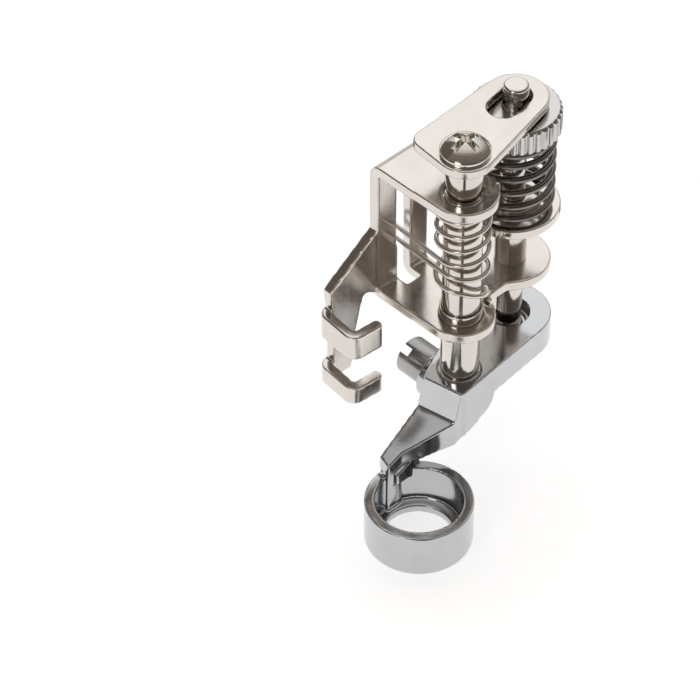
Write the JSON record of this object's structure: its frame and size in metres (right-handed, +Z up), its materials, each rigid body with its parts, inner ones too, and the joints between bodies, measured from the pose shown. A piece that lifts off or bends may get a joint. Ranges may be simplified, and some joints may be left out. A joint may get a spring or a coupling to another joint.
{
  "type": "sewing machine presser foot",
  "caption": "Free-motion presser foot: ring foot on a cast arm, a sprung sliding bracket with two claws, and a knurled height nut on upright posts.",
  "frame": {"origin": "needle axis at the sole of the ring", "axes": "+Z up along the needle axis; +X from the ring towards the rear rod; +Y towards the folded wall of the claw bracket and along the mounting pin"},
  "size_m": [0.0349, 0.0243, 0.0499],
  "materials": {
    "casting_chrome": "bright cool chrome plate on a casting",
    "pin_steel": "turned steel, lightly polished",
    "post_nickel": "bright warm nickel plate on turned steel",
    "sheet_nickel": "bright warm nickel plate on folded sheet",
    "screw_nickel": "bright nickel plated screw",
    "spring_nickel": "nickel plated spring wire",
    "spring_dark_steel": "dark oiled spring steel",
    "nut_nickel": "light nickel plate, ribbed rim"
  },
  "bodies": {
    "foot": {"foot_casting": "casting_chrome", "mounting_pin": "pin_steel", "front_post": "post_nickel", "rear_rod": "post_nickel", "top_spacer": "post_nickel", "top_plate": "sheet_nickel", "top_screw": "screw_nickel", "main_spring": "spring_dark_steel"},
    "carriage": {"claw_bracket": "sheet_nickel", "guide_bush": "post_nickel", "spring_seat": "post_nickel", "bracket_spring": "spring_nickel"},
    "nut": {"height_nut": "nut_nickel"}
  },
  "joints": [
    {"name": "carriage_lift", "type": "slide", "parent": "foot", "child": "carriage", "axis": [0, 0, 1], "range_m": [0, 0.0035], "stiffness_N_per_m": 400, "deforming": ["main_spring"]},
    {"name": "nut_turn", "type": "hinge", "parent": "foot", "child": "nut", "pos_m": [0.023, 0.00864, 0.045], "axis": [0, 0, 1], "continuous": true}
  ]
}
